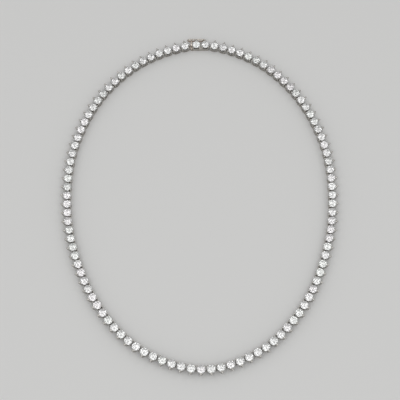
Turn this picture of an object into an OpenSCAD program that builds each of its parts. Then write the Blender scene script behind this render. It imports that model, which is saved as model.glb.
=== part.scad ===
// Riviere necklace: a closed string of equal brilliant-cut stones in three-claw links,
// lying flat, with a box clasp and a figure-eight safety catch at the back.
// Millimetres. +Z is up, Z = 0 is the surface it lies on, and the clasp is at +Y.

/* [String] */
// Number of stones, with the two on the clasp
stone_count = 103; // [90:1:120]
// Distance from one stone's centre to the next
pitch = 4.1; // [4:0.05:4.5]
// Distance from the string's last stone to the first stone on the clasp
clasp_gap = 5.2; // [5.1:0.05:6]

/* [Stone] */
// Diameter at the girdle
stone_d = 3.7; // [3.4:0.05:3.8]
// Height from the girdle to the table
crown_h = 0.55; // [0.45:0.01:0.65]
// Diameter of the table, from corner to corner
table_d = 2.1; // [1.9:0.05:2.3]
// Depth from the girdle to the point
pavilion_h = 1.6; // [1.45:0.01:1.7]
// Space between a stone and the metal that holds it
stone_gap = 0.1; // [0.08:0.01:0.15]

/* [Claws] */
// Height of the girdle above the surface
girdle_z = 2.55; // [2.4:0.05:2.9]
// Reach of the outward claw's point from the stone's centre
outer_reach = 2.8; // [2.6:0.05:3]
// Reach of an inward claw's point from the stone's centre
inner_reach = 2.3; // [2.2:0.05:2.4]
// Angle from the outward claw round to each inward claw
inner_angle = 133; // [128:1:138]
// Reach of the outward claw at its foot
outer_foot = 1.95; // [1.8:0.05:2.1]
// Reach of an inward claw at its foot
inner_foot = 2.15; // [2:0.05:2.25]
// Width of the outward claw beside the stone
outer_claw_w = 1.4; // [1:0.05:1.6]
// Width of an inward claw beside the stone
inner_claw_w = 0.9; // [0.7:0.05:1]
// Thickness of a claw at its foot
foot_t = 0.42; // [0.35:0.01:0.5]
// Height of a claw's point above the girdle
claw_rise = 0.25; // [0.15:0.01:0.35]
// Overlap of a claw's tip on the crown
claw_grip = 0.3; // [0.2:0.01:0.4]
// Thickness of a claw's tip
tip_t = 0.15; // [0.1:0.01:0.2]
// Depth of the ledge that a claw holds under the stone
ledge = 0.25; // [0.15:0.01:0.35]

/* [Gallery rails] */
// Height of a rail
rail_h = 0.42; // [0.3:0.01:0.5]
// Thickness of a rail
rail_t = 0.38; // [0.3:0.01:0.45]
// Height of the upper rail's underside above the surface
upper_rail_z = 1.05; // [0.9:0.05:1.2]
// Bow of a rail between the two inward claws
inner_bow = 0.33; // [0.2:0.01:0.4]
// Bow of a rail between an inward and the outward claw
side_bow = 0.3; // [0.2:0.01:0.4]

/* [Link rings] */
// Radius of a ring, to the middle of its wire
ring_r = 0.55; // [0.5:0.01:0.6]
// Thickness and width of a ring's wire
ring_wire = 0.32; // [0.28:0.01:0.34]
// Height of the rings' centres above the surface
ring_z = 1.25; // [1.22:0.01:1.29]

/* [Clasp box] */
// Length of the box past the stone on its open side
box_front = 1.65; // [1.5:0.05:1.8]
// Length of the box past the stone on its closed side
box_back = 1.2; // [1.15:0.05:1.35]
// Width of the box
box_w = 3.5; // [3.3:0.05:3.7]
// Height of the box
box_h = 1.2; // [1.15:0.01:1.22]
// Thickness of the box's walls
box_wall = 0.25; // [0.2:0.01:0.3]

/* [Clasp tongue] */
// Thickness of the end plate
plate_t = 0.75; // [0.6:0.01:0.8]
// Space between the end plate and the box, and round the tongue
tongue_gap = 0.12; // [0.1:0.01:0.15]
// Thickness of the folded spring
spring_t = 0.15; // [0.1:0.01:0.16]
// Length of the spring inside the box
spring_l = 5; // [4:0.1:5.5]
// Height of the thumb ridge above the end plate
ridge_h = 0.8; // [0.5:0.05:1]
// Length of the thumb ridge
ridge_l = 2.1; // [1.5:0.05:2.4]
// Diameter of the stud
stud_d = 0.6; // [0.5:0.01:0.65]
// Diameter of the stud's head
stud_head_d = 0.8; // [0.7:0.01:0.9]
// Length of the stud's head
stud_head_l = 0.3; // [0.2:0.01:0.4]

/* [Safety catch] */
// Distance from the clasp's middle line to the catch's middle line
catch_y = 3.05; // [3:0.05:3.3]
// Thickness of the catch's wire
catch_wire = 0.45; // [0.35:0.01:0.5]
// Height of the catch, to the middle of its wire
catch_h = 1.5; // [1.4:0.05:1.6]
// Height of the catch's middle above the surface
catch_z = 1.2; // [1.1:0.05:1.4]
// Distance from the catch's waist to the stone beside it, along the string
waist_x = 0.4; // [0.2:0.05:0.5]
// Distance of the hinge pin from the clasp's centre
hinge_x = 1.25; // [1.1:0.05:1.35]
// Diameter of the hinge pin
hinge_pin_d = 0.5; // [0.45:0.01:0.55]
// Radial clearance of the hinge pin in its tube
hinge_gap = 0.06; // [0.04:0.01:0.08]
// Outer diameter of the hinge tube
hinge_tube_d = 1.15; // [1.1:0.01:1.2]
// Space between the hinge tube and the catch above and below it
hinge_end_gap = 0.12; // [0.1:0.01:0.15]

/* [Hidden] */

// Smoothness of round parts
round_fn = 32;
// Metal that overhangs a cut, so that no two faces fall together
over = 1;

diamond = [0.93, 0.94, 0.96];
white_gold = [0.78, 0.78, 0.76];
spring_gold = [0.74, 0.70, 0.67];

// Points that the string passes, clockwise from the clasp, as it lies in a loop of about 16 inches
ROUTE = [[0.5, 77.5], [25, 69.5], [43.5, 51], [54.5, 26], [57, -1], [53, -26.5], [43, -50],
         [25.5, -69], [1.5, -77.5], [-24, -69], [-42, -50], [-53, -25], [-57, 0], [-54.5, 26],
         [-43.5, 51], [-24.5, 69.5]];
route_steps = 24;

// Point at share t of the way from route point i to the next, on a smooth closed curve
function route_point(i, t) =
    let (n = len(ROUTE),
         a = ROUTE[(i + n - 1) % n], b = ROUTE[i % n], c = ROUTE[(i + 1) % n], d = ROUTE[(i + 2) % n])
    (2 * b + (c - a) * t + (2 * a - 5 * b + 4 * c - d) * t * t
     + (3 * b - a - 3 * c + d) * t * t * t) / 2;

samples = [for (i = [0 : len(ROUTE) - 1]) for (k = [0 : route_steps - 1])
           route_point(i, k / route_steps)];
closed = concat(samples, [samples[0]]);
steps = [for (i = [1 : len(closed) - 1]) norm(closed[i] - closed[i - 1])];
ways = [for (i = 0, s = 0; i < len(closed); s = s + (i < len(steps) ? steps[i] : 0), i = i + 1) s];

// The string's whole length, and the scale that gives the route that length
string_l = (stone_count - 1) * pitch + clasp_gap;
route_scale = string_l / ways[len(ways) - 1];
way_x = [for (i = [0 : len(closed) - 1]) [ways[i] * route_scale, closed[i][0] * route_scale]];
way_y = [for (i = [0 : len(closed) - 1]) [ways[i] * route_scale, closed[i][1] * route_scale]];

// Point of the route and heading of the string at a distance s from the clasp's centre
function wrap(s) = s < 0 ? s + string_l : s > string_l ? s - string_l : s;
function way_point(s) = [lookup(wrap(s), way_x), lookup(wrap(s), way_y)];
function heading(s) =
    let (d = way_point(s + pitch / 2) - way_point(s - pitch / 2))
    atan2(d[1], d[0]);

// Distance of stone i from the clasp's centre, counted clockwise; stone 0 is on the clasp
function station(i) = (i + 0.5) * pitch;
string_n = stone_count - 2;
right_n = ceil(string_n / 2);

// Stone
stone_r = stone_d / 2;
table_r = table_d / 2;
half_step = 22.5;
// Share of the way from table to girdle where the star facets end
star_share = 0.5;
// Share of the girdle's radius where the lower halves end
lower_share = 0.25;
crown_slope = crown_h / (stone_r - table_r);
pavilion_slope = pavilion_h / stone_r;

// Height of the stone's room above or below the girdle at radius r, its clearance included
function crown_room(r) = (stone_r - r) * crown_slope + stone_gap * norm([1, crown_slope]);
function pavilion_room(r) = -(stone_r - r) * pavilion_slope - stone_gap * norm([1, pavilion_slope]);

// Claw
notch_r = stone_r + stone_gap;
claw_top = girdle_z + claw_rise;
tip_depth = 0.6;
outer_rail_r = outer_foot - foot_t / 2;
inner_rail_r = inner_foot - foot_t / 2;

// Rings
ring_x = (pitch - ring_r) / 2;

// Clasp, along its own X from the middle between its two stones
half_pitch = pitch / 2;
box_x0 = -half_pitch - box_front;
box_x1 = half_pitch + box_back;
plate_x0 = box_x0 - tongue_gap - plate_t;
stud_x = plate_x0 + plate_t / 2;
cavity_w = box_w - 2 * box_wall;
cavity_z1 = box_h - box_wall;
leaf_w = cavity_w - 2 * tongue_gap;
leaf_z0 = box_wall + tongue_gap;
leaf_z1 = cavity_z1 - tongue_gap - spring_t;
fold_r = (leaf_z1 + spring_t - leaf_z0) / 2;
stud_l = catch_y + catch_wire / 2 + hinge_end_gap;
// Radius of the hole in the box under a stone's point
well_r = 0.6;

// Catch, along the clasp's X
catch_r = catch_h / 2;
catch_waist_x = -half_pitch - waist_x;
catch_x0 = 2 * stud_x - catch_waist_x - catch_wire / 2;
tube_h = catch_h - catch_wire - 2 * hinge_end_gap;

// Place of the string at a distance s, with the whole necklace centred on the origin:
// the outward claws reach furthest on three sides and the head of the stud at the back
function beside(s, x, y) =
    let (a = heading(s))
    way_point(s) + [x * cos(a) - y * sin(a), x * sin(a) + y * cos(a)];
claw_ends = [for (i = [1 : string_n]) beside(station(i), 0, outer_reach)];
claw_xs = [for (e = claw_ends) e[0]];
claw_ys = [for (e = claw_ends) e[1]];
stud_end = beside(0, stud_x, stud_l + stud_head_l)[1] + stud_head_d / 2 * abs(sin(heading(0)));
middle = [(min(claw_xs) + max(claw_xs)) / 2, (min(claw_ys) + stud_end) / 2];
function place(s) = way_point(s) - middle;

// One brilliant: table, eight stars, eight kites, sixteen upper halves, sixteen lower
// halves and eight pavilion mains, meeting at a sharp girdle
module stone() {
    function ring_point(r, k, z) = [r * cos(k * half_step), r * sin(k * half_step), z];
    star_r = table_r + (stone_r - table_r) * star_share;
    low_r = stone_r * lower_share;
    star_z = crown_h - (star_r * cos(half_step) - table_r) * crown_slope;
    low_z = low_r * cos(half_step) * pavilion_slope - pavilion_h;
    table = [for (k = [0 : 7]) ring_point(table_r, 2 * k, crown_h)];
    stars = [for (k = [0 : 7]) ring_point(star_r, 2 * k + 1, star_z)];
    girdle = [for (k = [0 : 15]) ring_point(stone_r, k, 0)];
    lows = [for (k = [0 : 7]) ring_point(low_r, 2 * k + 1, low_z)];
    s0 = len(table);
    g0 = s0 + len(stars);
    l0 = g0 + len(girdle);
    tip = l0 + len(lows);
    faces = concat(
        [[for (k = [7 : -1 : 0]) k]],
        [for (k = [0 : 7]) [k, (k + 1) % 8, s0 + k]],
        [for (k = [0 : 7]) [k, s0 + k, g0 + 2 * k, s0 + (k + 7) % 8]],
        [for (k = [0 : 7]) [s0 + k, g0 + 2 * k + 1, g0 + 2 * k]],
        [for (k = [0 : 7]) [s0 + k, g0 + (2 * k + 2) % 16, g0 + 2 * k + 1]],
        [for (k = [0 : 7]) [l0 + k, g0 + 2 * k, g0 + 2 * k + 1]],
        [for (k = [0 : 7]) [l0 + k, g0 + 2 * k + 1, g0 + (2 * k + 2) % 16]],
        [for (k = [0 : 7]) [tip, l0 + (k + 7) % 8, g0 + 2 * k, l0 + k]]);
    translate([0, 0, girdle_z])
        polyhedron(concat(table, stars, girdle, lows, [[0, 0, -pavilion_h]]), faces);
}

// One claw, pointing along +X: a leaning prism with a sharp ridge, cut to its side profile
module claw(reach, foot, width) {
    lean = atan2(reach - foot, claw_top);
    depth = reach - notch_r;
    tip_r = stone_r - claw_grip;
    ledge_r = stone_r - ledge;
    tip_z = girdle_z + crown_room(tip_r);
    profile = [[foot - foot_t, 0], [foot, 0], [reach, claw_top],
               [tip_r, tip_z + tip_t], [tip_r, tip_z],
               [notch_r, girdle_z + crown_room(notch_r)],
               [notch_r, girdle_z + pavilion_room(notch_r)],
               [ledge_r, girdle_z + pavilion_room(ledge_r)]];
    section = [[0, 0], [-depth, width / 2], [-depth - tip_depth, 0], [-depth, -width / 2]];
    intersection() {
        rotate([90, 0, 0])
            linear_extrude(height = width + over, center = true)
                polygon(profile);
        translate([foot, 0, 0])
            rotate([0, lean, 0])
                translate([0, 0, -over])
                    linear_extrude(height = claw_top + 3 * over)
                        polygon(section);
    }
}

// The three claws of one stone, in a link's frame: X along the string, Y outward
module claws() {
    rotate([0, 0, 90])
        claw(outer_reach, outer_foot, outer_claw_w);
    for (side = [-1, 1])
        rotate([0, 0, 90 + side * inner_angle])
            claw(inner_reach, inner_foot, inner_claw_w);
}

// Corners of the rails, where the claws stand, with the middle of each bowed side between them
function bow_out(a, b, bow) =
    let (along = (b - a) / norm(b - a))
    (a + b) / 2 + bow * [along[1], -along[0]];
corners = [[0, outer_rail_r],
           inner_rail_r * [cos(90 + inner_angle), sin(90 + inner_angle)],
           inner_rail_r * [cos(90 - inner_angle), sin(90 - inner_angle)]];
bows = [side_bow, inner_bow, side_bow];
rail_line = [for (i = [0 : 2]) each [corners[i], bow_out(corners[i], corners[(i + 1) % 3], bows[i])]];
// Distance of a rail's side from the middle of its link
rail_side_x = max([for (p = [rail_line[1], rail_line[5]]) abs(p[0])]);

module rail_outline(grow) {
    polygon([for (p = rail_line) p * (1 + grow / norm(p))]);
}

module rail() {
    linear_extrude(height = rail_h)
        difference() {
            rail_outline(rail_t / 2);
            rail_outline(-rail_t / 2);
        }
}

// Flat ring round the Z axis, with a neck along -X that ends at neck_end
module ring(neck_end) {
    linear_extrude(height = ring_wire, center = true)
        difference() {
            union() {
                circle(r = ring_r + ring_wire / 2, $fn = round_fn);
                translate([neck_end, -ring_wire / 2])
                    square([-neck_end, ring_wire]);
            }
            circle(r = ring_r - ring_wire / 2, $fn = round_fn);
        }
}

// Upright ring on the way ahead, soldered at x
module upright_ring(x) {
    translate([ring_x, 0, ring_z])
        rotate([90, 0, 0])
            ring(x - ring_x);
}

// Level ring on the way back, soldered at -x
module level_ring(x) {
    translate([-ring_x, 0, ring_z])
        rotate([0, 0, 180])
            ring(x - ring_x);
}

// One link of the string: claws, rails and rings soldered into one piece
module link() {
    claws();
    rail();
    translate([0, 0, upper_rail_z])
        rail();
    upright_ring(rail_side_x);
    level_ring(rail_side_x);
}

module at_station(s) {
    translate(concat(place(s), [0]))
        rotate([0, 0, heading(s)])
            children();
}

module at_clasp() {
    at_station(0)
        children();
}

module stones_right() {
    color(diamond)
        for (i = [1 : right_n])
            at_station(station(i))
                stone();
}

module stones_left() {
    color(diamond)
        for (i = [right_n + 1 : string_n])
            at_station(station(i))
                stone();
}

module clasp_stones() {
    color(diamond)
        at_clasp()
            for (side = [-1, 1])
                translate([side * half_pitch, 0, 0])
                    stone();
}

module settings_right() {
    color(white_gold)
        for (i = [1 : right_n])
            at_station(station(i))
                link();
}

module settings_left() {
    color(white_gold)
        for (i = [right_n + 1 : string_n])
            at_station(station(i))
                link();
}

// Hollow box, open on the tongue's side, with the claws of two stones, a ring for the
// string on its closed side and the tube of the catch's hinge on its outer side
module clasp_box() {
    color(white_gold) {
        at_clasp()
            difference() {
                union() {
                    translate([box_x0, -box_w / 2, 0])
                        cube([box_x1 - box_x0, box_w, box_h]);
                    for (side = [-1, 1])
                        translate([side * half_pitch, 0, 0])
                            claws();
                    hinge_tube();
                }
                translate([box_x0 - over, -cavity_w / 2, box_wall])
                    cube([box_x1 - box_wall - box_x0 + over, cavity_w, cavity_z1 - box_wall]);
                for (side = [-1, 1])
                    translate([side * half_pitch, 0, cavity_z1 - box_wall])
                        cylinder(r = well_r, h = 2 * box_wall + over, $fn = round_fn);
                translate([hinge_x, catch_y, 0])
                    cylinder(d = hinge_pin_d + 2 * hinge_gap, h = box_h + over, $fn = round_fn);
            }
        at_station(station(0))
            upright_ring(box_back - box_wall / 2);
    }
}

// Solid tube and bracket of the catch's hinge, before it is bored
module hinge_tube() {
    translate([hinge_x, catch_y, catch_z - tube_h / 2])
        cylinder(d = hinge_tube_d, h = tube_h, $fn = round_fn);
    translate([hinge_x - hinge_pin_d / 2, box_w / 2 - box_wall / 2, catch_z - tube_h / 2])
        cube([hinge_pin_d, catch_y - box_w / 2 + box_wall / 2 - hinge_pin_d / 2, tube_h]);
}

// Folded spring, end plate with its thumb ridge, stud for the catch and ring for the string
module clasp_tongue() {
    color(spring_gold) {
        at_clasp() {
            translate([plate_x0, -box_w / 2, 0])
                cube([plate_t, box_w, box_h]);
            translate([plate_x0, box_w / 2 - ridge_l, box_h - over / 2])
                cube([plate_t, ridge_l, ridge_h + over / 2]);
            spring();
            stud();
        }
        at_station(string_l - clasp_gap - half_pitch + pitch)
            level_ring(half_pitch - clasp_gap - stud_x);
    }
}

module spring() {
    spring_x1 = plate_x0 + plate_t + tongue_gap + spring_l;
    translate([plate_x0 + plate_t / 2, -leaf_w / 2, leaf_z0])
        cube([spring_x1 - fold_r - plate_x0 - plate_t / 2, leaf_w, spring_t]);
    translate([box_x0 + tongue_gap, -leaf_w / 2, leaf_z1])
        cube([spring_x1 - fold_r - box_x0 - tongue_gap, leaf_w, spring_t]);
    translate([spring_x1 - fold_r, leaf_w / 2, leaf_z0 + fold_r])
        rotate([90, 0, 0])
            linear_extrude(height = leaf_w)
                difference() {
                    circle(r = fold_r, $fn = round_fn);
                    circle(r = fold_r - spring_t, $fn = round_fn);
                    translate([-2 * fold_r, -fold_r])
                        square(2 * fold_r);
                }
}

module stud() {
    translate([stud_x, 0, catch_z])
        rotate([-90, 0, 0]) {
            cylinder(d = stud_d, h = stud_l, $fn = round_fn);
            translate([0, 0, stud_l])
                cylinder(d = stud_head_d, h = stud_head_l, $fn = round_fn);
        }
}

// Figure-eight catch, closed over the stud; its far end is the hinge pin
module safety_catch() {
    color(white_gold)
        at_clasp()
            translate([0, catch_y, catch_z]) {
                rotate([90, 0, 0])
                    linear_extrude(height = catch_wire, center = true)
                        catch_outline();
                translate([hinge_x, 0, -catch_r])
                    cylinder(d = hinge_pin_d, h = catch_h, $fn = round_fn);
            }
}

// Two long loops side by side; the second is open where the hinge pin stands
module catch_outline() {
    difference() {
        union() {
            slot(catch_x0, catch_waist_x + catch_wire / 2, catch_r + catch_wire / 2);
            slot(catch_waist_x - catch_wire / 2, hinge_x + catch_h, catch_r + catch_wire / 2);
        }
        slot(catch_x0 + catch_wire, catch_waist_x - catch_wire / 2, catch_r - catch_wire / 2);
        slot(catch_waist_x + catch_wire / 2, hinge_x + 2 * catch_h, catch_r - catch_wire / 2);
        translate([hinge_x, -catch_h])
            square([2 * catch_h, 2 * catch_h]);
    }
}

// Slot with round ends from x0 to x1
module slot(x0, x1, r) {
    for (x = [x0 + r, x1 - r])
        translate([x, 0])
            circle(r = r, $fn = round_fn);
    translate([x0 + r, -r])
        square([x1 - x0 - 2 * r, 2 * r]);
}

stones_right();
stones_left();
clasp_stones();
settings_right();
settings_left();
clasp_box();
clasp_tongue();
safety_catch();
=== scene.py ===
"""Looks of a riviere necklace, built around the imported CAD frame.

Lengths are in millimetres until a mesh is made, and names in capitals are fixed sizes and looks.
"""
import math
import random

import bmesh
import bpy
from mathutils import Matrix, Vector


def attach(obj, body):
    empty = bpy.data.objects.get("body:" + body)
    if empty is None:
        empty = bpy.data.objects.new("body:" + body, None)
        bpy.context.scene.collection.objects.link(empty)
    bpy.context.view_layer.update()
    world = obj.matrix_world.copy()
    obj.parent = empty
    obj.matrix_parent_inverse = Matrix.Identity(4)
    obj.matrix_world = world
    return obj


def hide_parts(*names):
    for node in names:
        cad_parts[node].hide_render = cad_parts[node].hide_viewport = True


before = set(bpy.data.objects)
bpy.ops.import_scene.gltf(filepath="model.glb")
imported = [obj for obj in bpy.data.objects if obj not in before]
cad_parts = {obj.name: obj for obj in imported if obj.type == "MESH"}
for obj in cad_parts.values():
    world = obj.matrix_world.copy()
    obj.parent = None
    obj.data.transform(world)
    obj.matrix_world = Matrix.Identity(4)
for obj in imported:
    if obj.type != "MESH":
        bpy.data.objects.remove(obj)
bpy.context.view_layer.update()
MM = 0.001
ACROSS, UP = Vector((0, 1, 0)), Vector((0, 0, 1))

# String, as in the CAD source
STONE_COUNT = 103
PITCH = 4.1
CLASP_GAP = 5.2
HALF_PITCH = PITCH / 2
ROUTE = [(0.5, 77.5), (25, 69.5), (43.5, 51), (54.5, 26), (57, -1), (53, -26.5), (43, -50),
         (25.5, -69), (1.5, -77.5), (-24, -69), (-42, -50), (-53, -25), (-57, 0), (-54.5, 26),
         (-43.5, 51), (-24.5, 69.5)]
ROUTE_STEPS = 24

# Stone
STONE_R = 1.85
TABLE_R = 1.05
CROWN_H = 0.55
PAVILION_H = 1.76
GIRDLE_Z = 2.55
GIRDLE_HALF = 0.05
STAR_SHARE = 0.5
LOWER_SHARE = 0.25
GIRDLE_STEPS = 4
CULET_R = 0.02
MAX_TIP = 1.2
# Painted shade on each kind of facet, as a factor on the stone's colour: the steeper the facet, the
# darker it is painted, standing in for the light it loses to the side
TABLE_SHADE, STAR_SHADE, BEZEL_SHADE, HALF_SHADE = 0.97, 0.9, 0.82, 0.7
GIRDLE_SHADE, PAVILION_SHADE = 0.35, 0.6
SHADE_SPREAD = 0.07

# Claws
OUTER_REACH, INNER_REACH = 2.8, 2.3
OUTER_FOOT, INNER_FOOT = 1.95, 2.15
INNER_W = 0.72
INNER_ANGLE = 133
FOOT_T = 0.42
# The claws start inside the rails and the box, so that no two faces lie in one plane
FOOT_Z = 0.015
FOOT_EASE_Z, MID_Z = 0.06, 1.25
CLAW_TOP, TIP_RISE = GIRDLE_Z + 0.25, 0.1
CLAW_GRIP = 0.3
LEDGE = 0.25
# Height that the ledge under a stone loses on each millimetre towards its middle
LEDGE_SLOPE = 0.865
NOTCH_HALF = 0.06
# How far the inner claw's widest place stays from the stone's edge and from its own inner face
BACK_GAP, LEAST_T = 0.1, 0.06

# Rails and rings
RAIL_H, RAIL_T = 0.42, 0.38
UPPER_RAIL_Z = 1.05
INNER_BOW, SIDE_BOW = 0.33, 0.3
RING_R, RING_WIRE, RING_Z = 0.55, 0.32, 1.25
RING_X = (PITCH - RING_R) / 2
RAIL_EDGE, RAIL_STEPS = 0.12, 8
# Radius of the solder at a ring, halfway and at its end, as shares of the wire
NECK_SHARES = (0.75, 0.55, 0.5)
# Distance from a stone's middle to where the solder of a ring ends, on a link and on the box
LINK_JOIN, BOX_JOIN = 1.0, 1.1
OUTER_RAIL_R = OUTER_FOOT - FOOT_T / 2
INNER_RAIL_R = INNER_FOOT - FOOT_T / 2

# Clasp, along its own X from the middle between its two stones
BOX_X0, BOX_X1 = -3.7, 3.25
BOX_W, BOX_H, BOX_WALL = 3.5, 1.2, 0.25
PLATE_T, TONGUE_GAP = 0.75, 0.12
PLATE_X0 = BOX_X0 - TONGUE_GAP - PLATE_T
STUD_X = PLATE_X0 + PLATE_T / 2
RIDGE_H, RIDGE_L = 0.8, 2.1
STUD_R, STUD_HEAD_R, STUD_HEAD_L = 0.3, 0.4, 0.3
SPRING_T, SPRING_L = 0.15, 5.0
CATCH_Y, CATCH_Z, CATCH_H, CATCH_WIRE = 3.05, 1.2, 1.5, 0.45
WAIST_X = -HALF_PITCH - 0.4
CATCH_X0 = 2 * STUD_X - WAIST_X - CATCH_WIRE / 2
HINGE_X, PIN_R, TUBE_BORE_R, TUBE_R = 1.25, 0.25, 0.31, 0.575
TUBE_H = CATCH_H - CATCH_WIRE - 0.24
STUD_L = CATCH_Y + CATCH_WIRE / 2 + TONGUE_GAP
WELL_R = 0.6
# Ledge along the foot of the box: height, how far it stands out and how far it goes in
BASE_H, BASE_OUT, BASE_IN = 0.34, 0.05, 0.1
# Radii of eased edges, and the share of one by which a block's ends are eased
BOX_EDGE, ROOM_EDGE, BASE_EDGE, PLATE_EDGE, RIDGE_EDGE = 0.1, 0.05, 0.04, 0.12, 0.2
BRACKET_EDGE, TUBE_EDGE, LEAF_EDGE, END_SHARE = 0.06, 0.05, 0.03, 0.6
# How far pieces of the clasp go into each other where they are soldered
RIDGE_IN, STUD_IN, BRACKET_IN = 0.3, 0.1, 0.05
PIN_PAST, PIN_EDGE = 0.2, 0.05
STONE_AIR = 0.02
ROUND_N, TUBE_N, WELL_N, WIRE_N = 24, 24, 32, 16


# The string's course

def route_point(i, t):
    n = len(ROUTE)
    a, b, c, d = (Vector(ROUTE[(i + k) % n]) for k in (-1, 0, 1, 2))
    return (2 * b + (c - a) * t + (2 * a - 5 * b + 4 * c - d) * t ** 2
            + (3 * b - a - 3 * c + d) * t ** 3) / 2


samples = [route_point(i, k / ROUTE_STEPS) for i in range(len(ROUTE)) for k in range(ROUTE_STEPS)]
samples.append(samples[0])
ways = [0.0]
for before, after in zip(samples, samples[1:]):
    ways.append(ways[-1] + (after - before).length)
STRING_L = (STONE_COUNT - 1) * PITCH + CLASP_GAP
ROUTE_SCALE = STRING_L / ways[-1]


def way_point(s):
    s = (s % STRING_L) / ROUTE_SCALE
    low, high = 0, len(ways) - 1
    while high - low > 1:
        mid = (low + high) // 2
        low, high = (mid, high) if ways[mid] <= s else (low, mid)
    share = (s - ways[low]) / (ways[low + 1] - ways[low])
    return samples[low].lerp(samples[low + 1], share) * ROUTE_SCALE


def heading(s):
    ahead = way_point(s + HALF_PITCH) - way_point(s - HALF_PITCH)
    return math.atan2(ahead.y, ahead.x)


def station(i):
    return (i + 0.5) * PITCH


def beside(s, x, y):
    a = heading(s)
    turned = Vector((x * math.cos(a) - y * math.sin(a), x * math.sin(a) + y * math.cos(a)))
    return way_point(s) + turned


claw_ends = [beside(station(i), 0, OUTER_REACH) for i in range(1, STONE_COUNT - 1)]
stud_end = beside(0, STUD_X, STUD_L + STUD_HEAD_L).y + STUD_HEAD_R * abs(math.sin(heading(0)))
MIDDLE = Vector(((min(e.x for e in claw_ends) + max(e.x for e in claw_ends)) / 2,
                 (min(e.y for e in claw_ends) + stud_end) / 2))


def at_station(s):
    """Matrix of the string's own frame at a distance s from the clasp: X along it, Y outward."""
    p = way_point(s) - MIDDLE
    return Matrix.Translation((p.x, p.y, 0)) @ Matrix.Rotation(heading(s), 4, "Z")


AT_CLASP = at_station(0)
RIGHT = range(1, (STONE_COUNT - 2) // 2 + 2)
LEFT = range((STONE_COUNT - 2) // 2 + 2, STONE_COUNT - 1)


# Mesh building

class Solid:
    """Corners and faces of one piece, gathered part by part."""

    def __init__(self):
        self.points, self.faces, self.smooth, self.tones = [], [], [], []

    def add(self, points, faces, matrix, smooth=True, tones=()):
        """Adds a part; its face shades, if any, give the painted shade of each face as a factor on
        its colour, from 0 to 1.
        """
        first = len(self.points)
        self.points += [matrix @ Vector(p) for p in points]
        self.faces += [[first + i for i in f] for f in faces]
        self.smooth += [smooth] * len(faces)
        self.tones += tones

    def make(self, name, body, nodes, material, sharp=40):
        mesh = bpy.data.meshes.new(name)
        mesh.from_pydata([p * MM for p in self.points], [], self.faces)
        outward = bmesh.new()
        outward.from_mesh(mesh)
        bmesh.ops.recalc_face_normals(outward, faces=outward.faces)
        outward.to_mesh(mesh)
        outward.free()
        mesh.polygons.foreach_set("use_smooth", self.smooth)
        mesh.set_sharp_from_angle(angle=math.radians(sharp))
        mesh.materials.append(material)
        if self.tones:
            # Painted shade of each face, kept on the mesh as a colour for the stone's material
            painted_shade = mesh.color_attributes.new("painted_shade", "FLOAT_COLOR", "CORNER")
            values = [v for face, t in zip(self.faces, self.tones) for _ in face
                      for v in (t, t, t, 1.0)]
            painted_shade.data.foreach_set("color", values)
        mesh.update()
        piece = bpy.data.objects.new(name, mesh)
        bpy.context.scene.collection.objects.link(piece)
        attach(piece, body)
        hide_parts(*nodes)
        return piece


def loft(rings, closed=False):
    """Corners and faces of a tube through rings of equally many corners, capped unless closed."""
    n, m = len(rings[0]), len(rings)
    points = [p for ring in rings for p in ring]
    faces = []
    for r in range(m if closed else m - 1):
        a, b = r * n, (r + 1) % m * n
        faces += [[a + k, a + (k + 1) % n, b + (k + 1) % n, b + k] for k in range(n)]
    if not closed:
        faces += [list(range(n - 1, -1, -1)), [(m - 1) * n + k for k in range(n)]]
    return points, faces


def rounded_rectangle(w, h, r, steps=2):
    """Corners of a rounded rectangle round the origin, anticlockwise."""
    out = []
    for cx, cy, start in ((1, 1, 0), (-1, 1, 90), (-1, -1, 180), (1, -1, 270)):
        for k in range(steps + 1):
            a = math.radians(start + 90 * k / steps)
            out.append((cx * (w / 2 - r) + r * math.cos(a), cy * (h / 2 - r) + r * math.sin(a)))
    return out


def circle(r, n):
    angles = [2 * math.pi * k / n for k in range(n)]
    return [(r * math.cos(a), r * math.sin(a)) for a in angles]


def sweep(path, section, up, closed=True):
    """Loft of a section along a path; its first axis is sideways and its second is near up."""
    rings = []
    n = len(path)
    for i, p in enumerate(path):
        if closed:
            along = path[(i + 1) % n] - path[i - 1]
        else:
            along = path[min(i + 1, n - 1)] - path[max(i - 1, 0)]
        along.normalize()
        side = along.cross(up).normalized()
        over = side.cross(along)
        rings.append([p + side * u + over * v for u, v in section])
    return loft(rings, closed)


def spun(profile, n, closed=False):
    """Solid of revolution round Z from a profile of (radius, height), capped unless closed."""
    return loft([[(x, y, z) for x, y in circle(r, n)] for r, z in profile], closed)


# Stones

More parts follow.
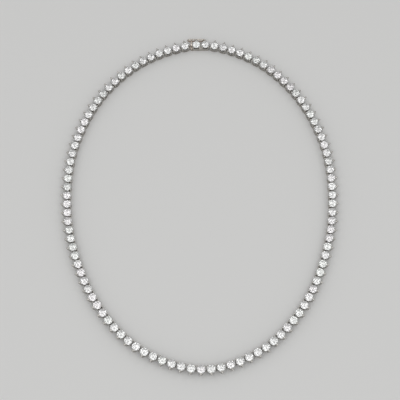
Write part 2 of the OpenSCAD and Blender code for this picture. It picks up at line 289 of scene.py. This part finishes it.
def brilliant():
    """Corners, faces and painted shade of each face of a 57-facet brilliant with a scalloped
    girdle, its girdle at Z = 0.
    """
    half = math.pi / 8
    step = half / GIRDLE_STEPS

    def at(r, angle, z):
        return Vector((r * math.cos(angle), r * math.sin(angle), z))

    crown_slope = (CROWN_H - GIRDLE_HALF) / (STONE_R - TABLE_R)
    depth = PAVILION_H - GIRDLE_HALF
    pavilion_slope = depth / (STONE_R - CULET_R)
    star_r = TABLE_R + (STONE_R - TABLE_R) * STAR_SHARE
    low_r = STONE_R * LOWER_SHARE
    star_z = CROWN_H - (star_r * math.cos(half) - TABLE_R) * crown_slope
    low_z = (low_r * math.cos(half) - STONE_R) * pavilion_slope - GIRDLE_HALF
    table = [at(TABLE_R, 2 * k * half, CROWN_H) for k in range(8)]
    stars = [at(star_r, (2 * k + 1) * half, star_z) for k in range(8)]
    lows = [at(low_r, (2 * k + 1) * half, low_z) for k in range(8)]
    culet = [at(CULET_R, 2 * k * half, -PAVILION_H) for k in range(8)]

    def edge(hubs, z):
        """The girdle's edge, each stretch in the plane of the half facet that meets it."""
        out = []
        for k in range(16):
            hub = hubs[k // 2]
            a, b = at(STONE_R, k * half, z), at(STONE_R, (k + 1) * half, z)
            normal = (a - hub).cross(b - hub)
            for j in range(GIRDLE_STEPS):
                p = at(STONE_R, k * half + j * step, 0)
                p.z = hub.z - (normal.x * (p.x - hub.x) + normal.y * (p.y - hub.y)) / normal.z
                out.append(p)
        return out

    upper, lower = edge(stars, GIRDLE_HALF), edge(lows, -GIRDLE_HALF)
    points = table + stars + lows + culet + upper + lower
    s0, l0, c0, u0 = 8, 16, 24, 32
    n = len(upper)
    v0 = u0 + n
    faces = [list(range(8)), [c0 + k for k in range(7, -1, -1)]]
    tones = [TABLE_SHADE, PAVILION_SHADE]
    for k in range(8):
        g = 2 * k * GIRDLE_STEPS
        left, right = (k + 7) % 8, (k + 1) % 8
        faces.append([k, s0 + k, right])
        faces.append([k, s0 + left, u0 + g, s0 + k])
        faces.append([c0 + k, l0 + k, v0 + g, l0 + left])
        faces.append([c0 + k, c0 + right, l0 + k])
        tones += [STAR_SHADE, BEZEL_SHADE, PAVILION_SHADE, PAVILION_SHADE]
        for start in (g, g + GIRDLE_STEPS):
            stretch = [(start + j) % n for j in range(GIRDLE_STEPS + 1)]
            faces.append([s0 + k] + [u0 + j for j in stretch])
            faces.append([l0 + k] + [v0 + j for j in reversed(stretch)])
            tones += [HALF_SHADE, PAVILION_SHADE]
    tones += [GIRDLE_SHADE] * n
    faces += [[u0 + j, v0 + j, v0 + (j + 1) % n, u0 + (j + 1) % n] for j in range(n)]
    return points, faces, tones


BRILLIANT = brilliant()
chance = random.Random(5)


def set_stone(solid, matrix):
    """One stone, turned and tipped a little at random, as a setter leaves it."""
    turn = Matrix.Rotation(chance.uniform(0, math.tau / 8), 4, "Z")
    tip = Matrix.Rotation(math.radians(chance.uniform(-MAX_TIP, MAX_TIP)), 4, "X")
    lean = Matrix.Rotation(math.radians(chance.uniform(-MAX_TIP, MAX_TIP)), 4, "Y")
    place = matrix @ Matrix.Translation((0, 0, GIRDLE_Z)) @ tip @ lean @ turn
    points, faces, tones = BRILLIANT
    # Painted shade of each facet, varied a little at random
    uneven = [min(1.0, t + chance.uniform(-SHADE_SPREAD, SHADE_SPREAD)) for t in tones]
    solid.add(points, faces, place, smooth=False, tones=uneven)


# Claws, rails and rings

def claw(reach, foot, width, rows, section):
    """One claw along +X, lofted through rows.

    A row is a height, how far the ridge is set in, the inner radius and the share of the width.
    """
    depth = reach - STONE_R - BACK_GAP
    lean = (reach - foot) / CLAW_TOP
    rings = []
    for z, inset, inner, share in rows:
        ridge = foot + lean * min(z, CLAW_TOP) - inset
        side = min(max(ridge + inset - depth, inner + LEAST_T), (ridge + inner) / 2)
        ring = []
        for along, across in section:
            # along: 0 on the ridge, 1 at the widest place, 2 at the inner face
            if along <= 1:
                x = ridge + (side - ridge) * along
            else:
                x = side + (inner - side) * (along - 1)
            ring.append((x, width / 2 * share * across, z))
        rings.append(ring + [(x, -y, zz) for x, y, zz in reversed(ring) if y > 0])
    return loft(rings)


NOTCH_R, TIP_R, LEDGE_R = STONE_R + 0.01, STONE_R - CLAW_GRIP, STONE_R - LEDGE
LEDGE_Z = GIRDLE_Z - (STONE_R - LEDGE_R) * LEDGE_SLOPE
TIP_Z = GIRDLE_Z + CLAW_GRIP * CROWN_H / (STONE_R - TABLE_R)


# Height, set-in of the ridge, inner radius and share of the width
INNER_CLAW_ROWS = [
    (FOOT_Z, 0.06, INNER_FOOT - FOOT_T + 0.03, 0.88),
    (FOOT_EASE_Z, 0, INNER_FOOT - FOOT_T, 0.97),
    (MID_Z, 0, INNER_FOOT - FOOT_T + (LEDGE_R - INNER_FOOT + FOOT_T) * MID_Z / LEDGE_Z, 1),
    (LEDGE_Z, 0, LEDGE_R, 1),
    (GIRDLE_Z - NOTCH_HALF, 0, NOTCH_R, 1),
    (GIRDLE_Z + NOTCH_HALF, 0, NOTCH_R, 0.99),
    (TIP_Z, 0.015, TIP_R, 0.93),
    (CLAW_TOP, 0.05, TIP_R - 0.04, 0.86),
    (CLAW_TOP + TIP_RISE * 0.5, 0.16, TIP_R - 0.02, 0.72),
    (CLAW_TOP + TIP_RISE * 0.85, 0.34, TIP_R + 0.06, 0.5),
    (CLAW_TOP + TIP_RISE, 0.5, TIP_R + 0.16, 0.25)]
# Height, ridge, end of the wing along and across, inner radius at the wing and at the middle
OUTER_CLAW_ROWS = [
    (FOOT_Z, 1.89, 1.55, 0.30, 1.54, 1.56),
    (FOOT_EASE_Z, 1.96, 1.54, 0.36, 1.52, 1.53),
    (MID_Z, 2.34, 1.62, 0.56, 1.63, 1.57),
    (LEDGE_Z, 2.66, 1.72, 0.66, 1.80, LEDGE_R),
    (2.49, 2.71, 1.76, 0.68, NOTCH_R, NOTCH_R),
    (2.59, 2.75, 1.76, 0.68, NOTCH_R, NOTCH_R),
    (2.68, 2.78, 1.77, 0.66, 1.84, 1.74),
    (2.76, 2.76, 1.78, 0.62, 1.82, 1.62),
    (2.82, 2.66, 1.79, 0.57, 1.81, 1.55),
    (2.87, 2.48, 1.79, 0.50, 1.80, 1.52),
    (2.91, 2.26, 1.79, 0.40, 1.79, 1.51),
    (2.94, 2.04, 1.78, 0.27, 1.76, 1.54),
    (2.955, 1.88, 1.74, 0.12, 1.71, 1.62)]
# Shares of the way from the ridge to the end of the wing, along the claw and across it
FLANK = [(0.03, 0.17), (0.15, 0.30), (0.38, 0.42), (0.62, 0.56), (0.84, 0.78)]
# Angle that the inner face falls short of the wing's end, in radians
WING_END = 0.02


def winged_claw():
    """The outer claw along +X: a horn whose hollow flanks widen into wings along the girdle."""
    rings = []
    for z, ridge, wing_x, wing_y, wing_r, middle_r in OUTER_CLAW_ROWS:
        ring = [(ridge, 0, z)]
        ring += [(ridge + (wing_x - ridge) * u, wing_y * v, z) for u, v in FLANK]
        ring.append((wing_x, wing_y, z))
        end = math.atan2(wing_y, wing_x) - WING_END
        for t in (0, 1 / 3, 2 / 3, 1):
            r = wing_r + (middle_r - wing_r) * t
            ring.append((r * math.cos(end * (1 - t)), r * math.sin(end * (1 - t)), z))
        rings.append(ring + [(x, -y, zz) for x, y, zz in reversed(ring[1:-1])])
    return loft(rings)


# Half of the inner claw's section, from its ridge to its inner face
ROUND = [(0, 0), (0.06, 0.35), (0.3, 0.72), (0.65, 0.95), (1, 1),
         (1.35, 0.9), (1.8, 0.62), (2, 0.3), (2, 0)]
OUTER_CLAW = winged_claw()
INNER_CLAW = claw(INNER_REACH, INNER_FOOT, INNER_W, INNER_CLAW_ROWS, ROUND)


def add_claws(solid, matrix):
    def turned(degrees):
        return matrix @ Matrix.Rotation(math.radians(degrees), 4, "Z")
    solid.add(*OUTER_CLAW, turned(90))
    for side in (-1, 1):
        solid.add(*INNER_CLAW, turned(90 + side * INNER_ANGLE))


def rail_path(z):
    """The rail's middle line: three bowed sides between the claws, at height z."""
    corners = [Vector((0, OUTER_RAIL_R, z))]
    for degrees in (90 + INNER_ANGLE, 90 - INNER_ANGLE):
        a = math.radians(degrees)
        corners.append(Vector((INNER_RAIL_R * math.cos(a), INNER_RAIL_R * math.sin(a), z)))
    out = []
    for i, bow in enumerate((SIDE_BOW, INNER_BOW, SIDE_BOW)):
        a, b = corners[i], corners[(i + 1) % 3]
        along = (b - a).normalized()
        outward = Vector((along.y, -along.x, 0))
        for k in range(RAIL_STEPS):
            t = k / RAIL_STEPS
            out.append(a.lerp(b, t) + outward * bow * 4 * t * (1 - t))
    return out


RAIL_SECTION = rounded_rectangle(RAIL_T, RAIL_H, RAIL_EDGE)
RAILS = [sweep(rail_path(z + RAIL_H / 2), RAIL_SECTION, UP) for z in (0, UPPER_RAIL_Z)]


def torus(r, wire, n=24, m=10):
    path = [Vector((x, y, 0)) for x, y in circle(r, n)]
    return sweep(path, circle(wire, m), UP)


RING = torus(RING_R, RING_WIRE / 2)
UPRIGHT = Matrix.Rotation(math.radians(90), 4, "X")


def add_neck(solid, matrix, x0, x1):
    """Solder fillet along X from a ring to what carries it."""
    start, middle, end = (RING_WIRE * share for share in NECK_SHARES)
    points, faces = spun([(start, x0), (middle, (x0 + x1) / 2), (end, x1)], 8)
    solid.add(points, faces, matrix @ Matrix.Rotation(math.radians(90), 4, "Y"))


def add_rings(solid, matrix, ahead=None, behind=None):
    """Upright ring ahead and level ring behind, each soldered at its distance from the stone."""
    lift = Matrix.Translation((0, 0, RING_Z))
    if ahead is not None:
        solid.add(*RING, matrix @ Matrix.Translation((RING_X, 0, RING_Z)) @ UPRIGHT)
        add_neck(solid, matrix @ lift, ahead, RING_X - RING_R)
    if behind is not None:
        solid.add(*RING, matrix @ Matrix.Translation((-RING_X, 0, RING_Z)))
        turned = Matrix.Rotation(math.pi, 4, "Z")
        add_neck(solid, matrix @ lift @ turned, behind, RING_X - RING_R)


def add_link(solid, matrix):
    add_claws(solid, matrix)
    for rail in RAILS:
        solid.add(*rail, matrix)
    add_rings(solid, matrix, ahead=LINK_JOIN, behind=LINK_JOIN)


# Clasp

def boxed(x0, x1, y0, y1, z0, z1, r):
    """Block with its long edges rounded, its ends eased."""
    w, h = y1 - y0, z1 - z0
    ease = r * END_SHARE
    rings = []
    for x, inset in ((x0, ease), (x0 + ease, 0), (x1 - ease, 0), (x1, ease)):
        section = rounded_rectangle(w - 2 * inset, h - 2 * inset, max(r - inset / 2, 0.01))
        rings.append([(x, (y0 + y1) / 2 + u, (z0 + z1) / 2 + v) for u, v in section])
    return loft(rings)


def cut(target, cutters):
    """Takes the cutters out of a mesh object."""
    for cutter in cutters:
        m = target.modifiers.new("cut", "BOOLEAN")
        m.operation, m.object, m.solver = "DIFFERENCE", cutter, "EXACT"
    depsgraph = bpy.context.evaluated_depsgraph_get()
    mesh = bpy.data.meshes.new_from_object(target.evaluated_get(depsgraph))
    points = [v.co.copy() for v in mesh.vertices]
    faces = [list(p.vertices) for p in mesh.polygons]
    for o in [target] + cutters:
        bpy.data.objects.remove(o)
    return points, faces


def loose(points, faces):
    mesh = bpy.data.meshes.new("loose")
    mesh.from_pydata([Vector(p) for p in points], [], faces)
    o = bpy.data.objects.new("loose", mesh)
    bpy.context.scene.collection.objects.link(o)
    bpy.context.view_layer.update()
    return o


def hollow_box():
    """The box with its mouth and the two wells in its top, under the points of its stones."""
    shell = loose(*boxed(BOX_X0, BOX_X1, -BOX_W / 2, BOX_W / 2, 0, BOX_H, BOX_EDGE))
    room = loose(*boxed(BOX_X0 - 1, BOX_X1 - BOX_WALL, -BOX_W / 2 + BOX_WALL, BOX_W / 2 - BOX_WALL,
                        BOX_WALL, BOX_H - BOX_WALL, ROOM_EDGE))
    wells = []
    for side in (-1, 1):
        points, faces = spun([(WELL_R, BOX_H - 2 * BOX_WALL), (WELL_R, BOX_H + 1)], WELL_N)
        wells.append(loose([(p[0] + side * HALF_PITCH, p[1], p[2]) for p in points], faces))
    return cut(shell, [room] + wells)


def clasp_box(solid):
    """The hollow box with its ledges, claws, hinge tube with its bracket, and ring."""
    solid.add(*hollow_box(), AT_CLASP)
    for y in (-1, 1):
        y0, y1 = sorted((y * (BOX_W / 2 - BASE_IN), y * (BOX_W / 2 + BASE_OUT)))
        solid.add(*boxed(BOX_X0, BOX_X1, y0, y1, 0, BASE_H, BASE_EDGE), AT_CLASP)
    for side in (-1, 1):
        add_claws(solid, AT_CLASP @ Matrix.Translation((side * HALF_PITCH, 0, 0)))
    half = TUBE_H / 2
    tube = [(TUBE_BORE_R, -half), (TUBE_R - TUBE_EDGE, -half), (TUBE_R, -half + TUBE_EDGE),
            (TUBE_R, half - TUBE_EDGE), (TUBE_R - TUBE_EDGE, half), (TUBE_BORE_R, half)]
    solid.add(*spun(tube, TUBE_N, closed=True),
              AT_CLASP @ Matrix.Translation((HINGE_X, CATCH_Y, CATCH_Z)))
    solid.add(*boxed(HINGE_X - PIN_R, HINGE_X + PIN_R, BOX_W / 2 - BOX_WALL / 2,
                     CATCH_Y - TUBE_BORE_R - BRACKET_IN, CATCH_Z - half, CATCH_Z + half,
                     BRACKET_EDGE), AT_CLASP)
    add_rings(solid, at_station(station(0)), ahead=BOX_JOIN)


def clasp_tongue(solid):
    """End plate with its thumb ridge and stud, the folded spring leaf, and the ring."""
    plate_x1 = PLATE_X0 + PLATE_T
    solid.add(*boxed(PLATE_X0, plate_x1, -BOX_W / 2, BOX_W / 2, 0, BOX_H, PLATE_EDGE), AT_CLASP)
    solid.add(*boxed(PLATE_X0, plate_x1, BOX_W / 2 - RIDGE_L, BOX_W / 2, BOX_H - RIDGE_IN,
                     BOX_H + RIDGE_H, RIDGE_EDGE), AT_CLASP)
    leaf_w = BOX_W - 2 * BOX_WALL - 2 * TONGUE_GAP
    z0, z1 = BOX_WALL + TONGUE_GAP, GIRDLE_Z - PAVILION_H - STONE_AIR
    fold = (z1 - z0) / 2
    x1 = plate_x1 + TONGUE_GAP + SPRING_L - fold
    line = [Vector((PLATE_X0 + PLATE_T / 2, 0, z0 + SPRING_T / 2)),
            Vector((x1, 0, z0 + SPRING_T / 2))]
    bend_r = fold - SPRING_T / 2
    line += [Vector((x1 + bend_r * math.sin(a), 0, z0 + fold - bend_r * math.cos(a)))
             for a in (math.pi * k / 6 for k in range(1, 6))]
    line += [Vector((x1, 0, z1 - SPRING_T / 2)),
             Vector((BOX_X0 + TONGUE_GAP, 0, z1 - SPRING_T / 2))]
    leaf = rounded_rectangle(SPRING_T, leaf_w, LEAF_EDGE, 1)
    solid.add(*sweep(line, leaf, ACROSS, closed=False), AT_CLASP)
    end = STUD_L + STUD_HEAD_L
    stud = [(STUD_R, BOX_W / 2 - STUD_IN), (STUD_R, STUD_L), (STUD_HEAD_R - 0.03, STUD_L + 0.03),
            (STUD_HEAD_R, STUD_L + STUD_HEAD_L / 2),
            (0.34, end - 0.09), (0.2, end - 0.02), (0.01, end)]
    solid.add(*spun(stud, ROUND_N), AT_CLASP @ Matrix.Translation((STUD_X, 0, CATCH_Z))
              @ Matrix.Rotation(math.radians(-90), 4, "X"))
    add_rings(solid, at_station(STRING_L - CLASP_GAP - HALF_PITCH + PITCH),
              behind=HALF_PITCH - CLASP_GAP - STUD_X)


def half_turn(cx, r, start, steps=18):
    """Half a turn round (cx, 0, 0), upright along X, from a start in degrees."""
    angles = [math.radians(start + 180 * k / steps) for k in range(steps + 1)]
    return [Vector((cx + r * math.cos(a), 0, r * math.sin(a))) for a in angles]


def safety_catch(solid):
    """Round wire bent in a figure of eight; its two ends are soldered to the hinge pin."""
    r = CATCH_H / 2
    wire = circle(CATCH_WIRE / 2, WIRE_N)
    place = AT_CLASP @ Matrix.Translation((0, CATCH_Y, CATCH_Z))
    far, near = CATCH_X0 + CATCH_WIRE / 2 + r, WAIST_X - r
    closed_loop = half_turn(near, r, -90) + half_turn(far, r, 90)
    solid.add(*sweep(closed_loop, wire, ACROSS), place)
    bend = half_turn(WAIST_X + r, r, 90)
    open_loop = [Vector((HINGE_X, 0, r))] + bend + [Vector((HINGE_X, 0, -r))]
    solid.add(*sweep(open_loop, wire, ACROSS, closed=False), place)
    end, tip_r = r + PIN_PAST, PIN_R - PIN_EDGE
    pin = [(tip_r, -end), (PIN_R, PIN_EDGE - end), (PIN_R, end - PIN_EDGE), (tip_r, end)]
    solid.add(*spun(pin, ROUND_N), place @ Matrix.Translation((HINGE_X, 0, 0)))


# Materials

def new_material(name):
    m = bpy.data.materials.new(name)
    m.use_nodes = True
    return m, m.node_tree, m.node_tree.nodes["Principled BSDF"]


def noise_of(tree, scale, detail):
    """Noise in the piece's own space; the scale is in turns per metre."""
    coordinates = tree.nodes.new("ShaderNodeTexCoord")
    noise = tree.nodes.new("ShaderNodeTexNoise")
    noise.inputs["Scale"].default_value = scale
    noise.inputs["Detail"].default_value = detail
    tree.links.new(coordinates.outputs["Object"], noise.inputs["Vector"])
    return noise.outputs["Fac"]


def ramp(tree, value, stops):
    node = tree.nodes.new("ShaderNodeValToRGB")
    marks = node.color_ramp.elements
    while len(marks) < len(stops):
        marks.new(0.5)
    for mark, (position, colour) in zip(marks, stops):
        mark.position, mark.color = position, (*colour, 1)
    tree.links.new(value, node.inputs["Fac"])
    return node.outputs["Color"]


def spread(tree, value, low, high, to_low=0.0, to_high=1.0):
    node = tree.nodes.new("ShaderNodeMapRange")
    for key, number in (("From Min", low), ("From Max", high),
                        ("To Min", to_low), ("To Max", to_high)):
        node.inputs[key].default_value = number
    tree.links.new(value, node.inputs["Value"])
    return node.outputs["Result"]


def bump(tree, height, distance, strength):
    node = tree.nodes.new("ShaderNodeBump")
    node.inputs["Strength"].default_value = strength
    node.inputs["Distance"].default_value = distance
    tree.links.new(height, node.inputs["Height"])
    return node.outputs["Normal"]


# Scales of noise, in turns per metre: from stone to stone, of polishing haze and of drawn metal
TINT_SCALE, HAZE_SCALE, GRAIN_SCALE = 170, 2500, 1400
TINTS = [(0.36, (0.965, 0.985, 0.955)), (0.5, (0.985, 0.985, 0.98)), (0.64, (0.99, 0.965, 0.975))]
MOST_HAZE = 0.03
DIAMOND_IOR = 2.42
# How far the grain moves the border of polish and satin and of the painted shade, and its relief in
# metres and strength
MOTTLE = 0.5
GRAIN_DEPTH, GRAIN_STRENGTH = 0.00003, 0.12


def diamond():
    """Clear stone, its tint drifting from stone to stone and darkened facet by facet as painted
    shade, with the faintest polishing haze.
    """
    m, tree, bsdf = new_material("diamond")
    tint = ramp(tree, noise_of(tree, TINT_SCALE, 1), TINTS)
    # Painted shade of each facet, read from the mesh, multiplies the tint
    painted_shade = tree.nodes.new("ShaderNodeAttribute")
    painted_shade.attribute_name = "painted_shade"
    shaded_tint = tree.nodes.new("ShaderNodeMix")
    shaded_tint.data_type, shaded_tint.blend_type = "RGBA", "MULTIPLY"
    shaded_tint.inputs["Factor"].default_value = 1.0
    tree.links.new(tint, shaded_tint.inputs["A"])
    tree.links.new(painted_shade.outputs["Color"], shaded_tint.inputs["B"])
    tree.links.new(shaded_tint.outputs["Result"], bsdf.inputs["Base Color"])
    haze = spread(tree, noise_of(tree, HAZE_SCALE, 3), 0.45, 0.75, 0.0, MOST_HAZE)
    tree.links.new(haze, bsdf.inputs["Roughness"])
    bsdf.inputs["IOR"].default_value = DIAMOND_IOR
    bsdf.inputs["Transmission Weight"].default_value = 1.0
    return m


def metal(name, bright, shade_colour, polish, satin, low, high):
    """Gold that is polished above a height of high and satin below low, with fine drawing marks;
    towards the bottom its colour also darkens to the shade colour, as painted shade.
    """
    m, tree, bsdf = new_material(name)
    bsdf.inputs["Metallic"].default_value = 1.0
    coordinates = tree.nodes.new("ShaderNodeTexCoord")
    split = tree.nodes.new("ShaderNodeSeparateXYZ")
    tree.links.new(coordinates.outputs["Object"], split.inputs["Vector"])
    height = spread(tree, split.outputs["Z"], low * MM, high * MM)
    grain = noise_of(tree, GRAIN_SCALE, 4)
    mottle = tree.nodes.new("ShaderNodeMath")
    mottle.operation = "MULTIPLY_ADD"
    tree.links.new(grain, mottle.inputs[0])
    mottle.inputs[1].default_value = MOTTLE
    mottle.inputs[2].default_value = -MOTTLE / 2
    level = tree.nodes.new("ShaderNodeMath")
    level.operation, level.use_clamp = "ADD", True
    tree.links.new(height, level.inputs[0])
    tree.links.new(mottle.outputs["Value"], level.inputs[1])
    # Painted shade: the colour darkens towards the bottom, along with the satin
    colour = ramp(tree, level.outputs["Value"], [(0.0, shade_colour), (1.0, bright)])
    tree.links.new(colour, bsdf.inputs["Base Color"])
    roughness = spread(tree, level.outputs["Value"], 0, 1, satin, polish)
    tree.links.new(roughness, bsdf.inputs["Roughness"])
    tree.links.new(bump(tree, grain, GRAIN_DEPTH, GRAIN_STRENGTH), bsdf.inputs["Normal"])
    return m


DIAMOND = diamond()
# Each metal's second colour is painted shade, taken on towards the bottom of the piece together
# with the satin finish
WHITE_GOLD = metal("white_gold", (0.58, 0.56, 0.53), (0.50, 0.48, 0.45), 0.26, 0.38, 1.3, 2.6)
BOX_GOLD = metal("box_gold", (0.62, 0.60, 0.565), (0.47, 0.45, 0.42), 0.26, 0.38, 0.9, 1.7)
SPRING_GOLD = metal("spring_gold", (0.74, 0.67, 0.60), (0.40, 0.34, 0.29), 0.28, 0.38, 0.9, 1.7)
CATCH_GOLD = metal("catch_gold", (0.74, 0.69, 0.62), (0.44, 0.33, 0.26), 0.24, 0.34, 0.7, 1.9)

# Pieces

for name, stations, node in (("brilliants_right", RIGHT, "stones_right"),
                             ("brilliants_left", LEFT, "stones_left")):
    solid = Solid()
    for i in stations:
        set_stone(solid, at_station(station(i)))
    solid.make(name, "necklace", [node], DIAMOND)
solid = Solid()
for side in (-1, 1):
    set_stone(solid, AT_CLASP @ Matrix.Translation((side * HALF_PITCH, 0, 0)))
solid.make("brilliants_clasp", "necklace", ["clasp_stones"], DIAMOND)

for name, stations, node in (("links_right", RIGHT, "settings_right"),
                             ("links_left", LEFT, "settings_left")):
    solid = Solid()
    for i in stations:
        add_link(solid, at_station(station(i)))
    solid.make(name, "necklace", [node], WHITE_GOLD)

for name, build, body, node, slot, material in (
        ("box_clasp", clasp_box, "necklace", "clasp_box", "white_gold", BOX_GOLD),
        ("tongue", clasp_tongue, "necklace", "clasp_tongue", "spring_gold", SPRING_GOLD),
        ("figure_eight_catch", safety_catch, "catch", "safety_catch", "white_gold", CATCH_GOLD)):
    solid = Solid()
    build(solid)
    solid.make(name, body, [node], material)


# Floor, light and camera

# Side of the floor in metres, and its gap to the part's underside in millimetres
FLOOR, FLOOR_GAP = 8, 0.02
bpy.ops.mesh.primitive_plane_add(size=FLOOR, location=(0, 0, -FLOOR_GAP * MM))
floor = bpy.context.object
floor.name = "floor"
paper, tree, bsdf = new_material("paper")
bsdf.inputs["Base Color"].default_value = (0.78, 0.78, 0.77, 1)
bsdf.inputs["Roughness"].default_value = 0.85
floor.data.materials.append(paper)

world = bpy.data.worlds.new("studio")
bpy.context.scene.world = world
world.use_nodes = True
sky = world.node_tree
coordinates = sky.nodes.new("ShaderNodeTexCoord")
split = sky.nodes.new("ShaderNodeSeparateXYZ")
sky.links.new(coordinates.outputs["Generated"], split.inputs["Vector"])
dome = ramp(sky, split.outputs["Z"], [(0.1, (0.48, 0.48, 0.48)), (0.7, (0.55, 0.55, 0.55))])
sky.links.new(dome, sky.nodes["Background"].inputs["Color"])


def softbox(name, place, side, radiance):
    """Square area light that faces the middle of the part."""
    lamp = bpy.data.lights.new(name, "AREA")
    lamp.shape, lamp.size = "SQUARE", side
    lamp.energy = radiance * math.pi * side * side
    o = bpy.data.objects.new(name, lamp)
    bpy.context.scene.collection.objects.link(o)
    o.location = place
    o.rotation_euler = (-Vector(place)).to_track_quat("-Z", "Y").to_euler()


# Places in metres: most of them stand in front, near the camera, and keep the stones lit
SOFTBOXES = [(0, -0.2, 0.8), (0.24, -0.3, 0.7), (-0.24, -0.3, 0.7),
             (0.1, -0.5, 0.62), (-0.1, -0.5, 0.62), (0.5, -0.3, 0.55), (-0.5, -0.3, 0.55),
             (0.35, 0, 0.75), (-0.35, 0, 0.75), (0, 0.3, 0.75), (0.45, 0.4, 0.5), (-0.45, 0.4, 0.5)]
SOFTBOX_SIDE, SOFTBOX_RADIANCE = 0.17, 1.6
for k, place in enumerate(SOFTBOXES):
    softbox("softbox%d" % k, place, SOFTBOX_SIDE, SOFTBOX_RADIANCE)

TARGET = Vector((0.151, -1.507, GIRDLE_Z)) * MM
ELEVATION = math.radians(63.83)
DISTANCE = 605.8 * MM
FOCAL_PX, IMAGE_PX, SENSOR = 1413.7, 400, 36
camera = bpy.data.objects.new("camera", bpy.data.cameras.new("camera"))
bpy.context.scene.collection.objects.link(camera)
camera.data.sensor_width = SENSOR
camera.data.lens = FOCAL_PX / IMAGE_PX * SENSOR
camera.data.clip_start, camera.data.clip_end = 0.01, 10
back = Vector((0, -math.cos(ELEVATION), math.sin(ELEVATION)))
camera.location = TARGET + back * DISTANCE
camera.rotation_euler = (-back).to_track_quat("-Z", "Y").to_euler()
bpy.context.scene.camera = camera
bpy.context.scene.view_settings.view_transform = "Standard"
